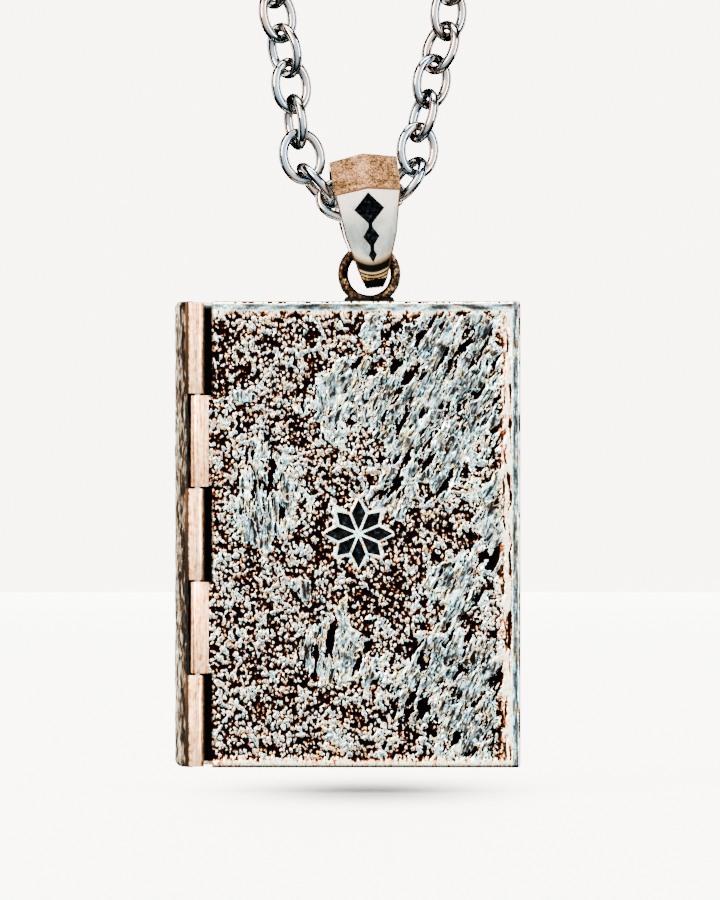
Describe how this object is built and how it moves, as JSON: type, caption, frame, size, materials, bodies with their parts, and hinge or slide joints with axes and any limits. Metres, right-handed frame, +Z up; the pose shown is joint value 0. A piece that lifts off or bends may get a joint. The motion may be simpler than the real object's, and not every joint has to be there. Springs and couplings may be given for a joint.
{
  "type": "book locket necklace",
  "caption": "Silver locket shaped like a closed book with a hinged front cover, hung from a tapered bail on a steel cable chain.",
  "frame": {"origin": "middle of the nape, where the clasp lies and the necklace hangs from", "axes": "+Z up, +Y towards the back of the neck, +X to the viewer's right; the locket faces -Y"},
  "size_m": [0.1046, 0.1035, 0.1704],
  "materials": {
    "cast_silver": "cast and oxidised, bright on the high places",
    "pin_silver": "drawn wire",
    "bail_silver": "polished front, matt cast top",
    "chain_steel": "polished"
  },
  "bodies": {
    "chain": {"chain_left": "chain_steel", "chain_right": "chain_steel", "clasp": "chain_steel"},
    "bail": {"bail": "bail_silver"},
    "book": {"book_body": "cast_silver", "hinge_pin": "pin_silver"},
    "cover": {"front_cover": "cast_silver"}
  },
  "joints": [
    {"name": "bail_swing", "type": "hinge", "parent": "chain", "child": "bail", "pos_m": [-0.00022, -0.098, -0.125], "axis": [0.9942, 0.0523, 0.094], "range_deg": [-45, 45]},
    {"name": "pendant_sway", "type": "hinge", "parent": "bail", "child": "book", "pos_m": [0, -0.098, -0.1306], "axis": [0, 1, 0], "range_deg": [-30, 30]},
    {"name": "cover_hinge", "type": "hinge", "parent": "book", "child": "cover", "pos_m": [-0.0129, -0.1012, -0.1502], "axis": [0, 0, -1], "range_deg": [0, 105]}
  ]
}
